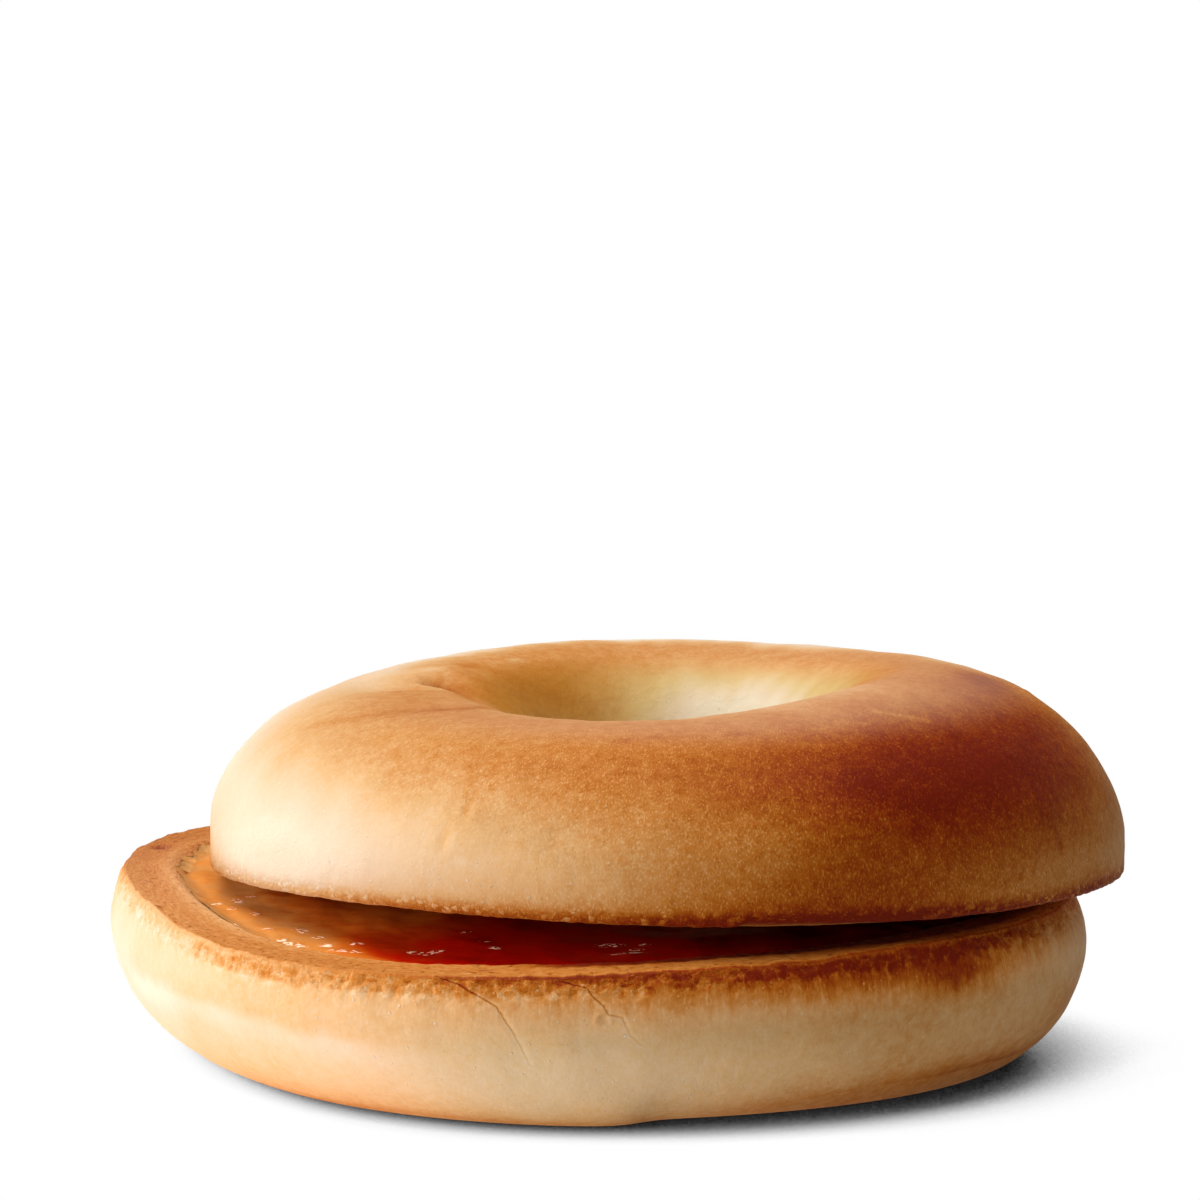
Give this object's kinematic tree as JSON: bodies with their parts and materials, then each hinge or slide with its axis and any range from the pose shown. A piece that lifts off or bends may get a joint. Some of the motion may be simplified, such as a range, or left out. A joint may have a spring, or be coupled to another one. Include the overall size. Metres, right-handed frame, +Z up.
{
  "type": "bagel",
  "caption": "Toasted ring-shaped bread roll sliced across, the upper half resting askew on the lower over a thin glossy spread, with an open hole through the middle.",
  "frame": {"origin": "on the surface the bagel stands on, under the middle of its box", "axes": "+Z up, the open front of the gap towards -Y, the upper half shifted towards +X"},
  "size_m": [0.114, 0.1126, 0.0432],
  "materials": {
    "lower_crust": "pale baked crust, toasted brown at the cut rim",
    "upper_crust": "golden to dark brown baked crust with a soft sheen",
    "spread": "wet glossy amber film"
  },
  "bodies": {
    "root": {"bottom_half": "lower_crust", "top_half": "upper_crust", "spread": "spread"}
  },
  "joints": []
}
